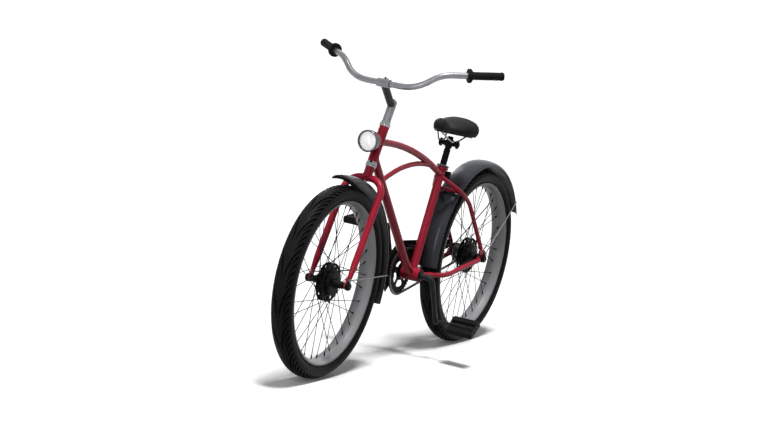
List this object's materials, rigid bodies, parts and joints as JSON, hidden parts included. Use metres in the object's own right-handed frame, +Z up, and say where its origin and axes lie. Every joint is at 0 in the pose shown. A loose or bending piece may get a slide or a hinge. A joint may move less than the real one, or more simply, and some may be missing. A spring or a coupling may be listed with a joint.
{
  "type": "beach cruiser bicycle",
  "caption": "Beach cruiser bicycle with a curved tube frame, fat tyres on wide rims, fenders, swept-back handlebar, padded saddle, bullet headlamp, chain drive and coaster brake.",
  "frame": {"origin": "on the ground midway between the two axles, in the bicycle's middle plane", "axes": "+X forward, +Y to the rider's left, +Z up; front wheel straight, saddle at its pictured height"},
  "size_m": [1.8648, 0.7542, 1.1575],
  "materials": {
    "frame_paint": "gloss candy crimson over primer",
    "fender_paint": "gloss dark slate",
    "black_metal": "satin black",
    "rim_metal": "polished anthracite",
    "tyre_rubber": "matt black, slanted tread blocks",
    "bright_chrome": "bright chrome",
    "bar_alloy": "polished alloy",
    "stem_grey": "matt dark grey",
    "stay_steel": "black steel wire",
    "chain_steel": "oiled dark steel",
    "grip_rubber": "matt black",
    "saddle_vinyl": "fine-grained charcoal vinyl",
    "black_plastic": "moulded black",
    "pedal_rubber": "dark grey ribbed",
    "lamp_glass": "clear",
    "red_lens": "red prismatic"
  },
  "bodies": {
    "frame": {"head_tube": "frame_paint", "top_tube": "frame_paint", "cantilever_tube": "frame_paint", "down_tube": "frame_paint", "seat_tube": "frame_paint", "bottom_bracket_shell": "frame_paint", "rear_dropouts": "frame_paint", "chain_stays": "frame_paint", "seat_stays": "frame_paint", "headset_bearings": "bright_chrome", "bracket_bearings": "black_metal", "seat_collar": "bright_chrome", "headlamp_bucket": "frame_paint", "headlamp_bezel": "bright_chrome", "headlamp_lens": "lamp_glass", "headlamp_reflector": "bright_chrome", "headlamp_bracket": "black_metal", "reflector_housing": "black_plastic", "reflector_lens": "red_lens", "rear_fender": "fender_paint", "rear_fender_mounts": "stay_steel", "chain_guard": "black_metal", "chain": "chain_steel", "rear_axle": "black_metal", "coaster_brake": "black_metal"},
    "fork": {"fork_arch": "frame_paint", "fork_tips": "frame_paint", "fork_steerer": "frame_paint", "headset_nut_and_race": "bright_chrome", "stem_quill": "bar_alloy", "stem_arm": "stem_grey", "stem_clamp": "bar_alloy", "stem_bolts": "bright_chrome", "handlebar": "bar_alloy", "grips": "grip_rubber", "front_fender": "fender_paint", "front_fender_mounts": "stay_steel", "front_axle": "black_metal"},
    "front_wheel": {"front_tyre": "tyre_rubber", "front_rim": "rim_metal", "front_hub_and_spokes": "black_metal"},
    "rear_wheel": {"rear_tyre": "tyre_rubber", "rear_rim": "rim_metal", "rear_hub_and_spokes": "black_metal"},
    "sprocket": {"sprocket": "chain_steel"},
    "crank": {"crank": "black_metal", "chainring": "black_metal"},
    "left_pedal": {"left_pedal_body": "black_plastic", "left_pedal_treads": "pedal_rubber"},
    "right_pedal": {"right_pedal_body": "black_plastic", "right_pedal_treads": "pedal_rubber"},
    "seat": {"seat_post": "black_metal", "saddle_cover": "saddle_vinyl", "saddle_pan": "black_plastic", "saddle_rails": "black_metal", "saddle_clamp": "black_metal"}
  },
  "joints": [
    {"name": "steering", "type": "hinge", "parent": "frame", "child": "fork", "pos_m": [0.3495, 0, 0.834], "axis": [-0.4067, 0, 0.9135], "range_deg": [-75, 75]},
    {"name": "front_wheel_spin", "type": "hinge", "parent": "fork", "child": "front_wheel", "pos_m": [0.582, 0, 0.35], "axis": [0, 1, 0], "continuous": true},
    {"name": "rear_wheel_spin", "type": "hinge", "parent": "frame", "child": "rear_wheel", "pos_m": [-0.582, 0, 0.35], "axis": [0, 1, 0], "continuous": true},
    {"name": "crank_spin", "type": "hinge", "parent": "frame", "child": "crank", "pos_m": [-0.09701, 0, 0.317], "axis": [0, 1, 0], "continuous": true, "deforming": ["chain"]},
    {"name": "sprocket_spin", "type": "hinge", "parent": "frame", "child": "sprocket", "pos_m": [-0.582, -0.045, 0.35], "axis": [0, 1, 0], "continuous": true, "deforming": ["chain"]},
    {"name": "left_pedal_spin", "type": "hinge", "parent": "crank", "child": "left_pedal", "pos_m": [-0.15109, 0.22, 0.15057], "axis": [0, 1, 0], "continuous": true},
    {"name": "right_pedal_spin", "type": "hinge", "parent": "crank", "child": "right_pedal", "pos_m": [-0.04294, -0.22, 0.48343], "axis": [0, 1, 0], "continuous": true},
    {"name": "seat_height", "type": "slide", "parent": "frame", "child": "seat", "axis": [-0.3007, 0, 0.9537], "range_m": [-0.04, 0.08]}
  ],
  "couplings": [
    {"joint": "sprocket_spin", "follows": "crank_spin", "ratio": 2.4444}
  ]
}
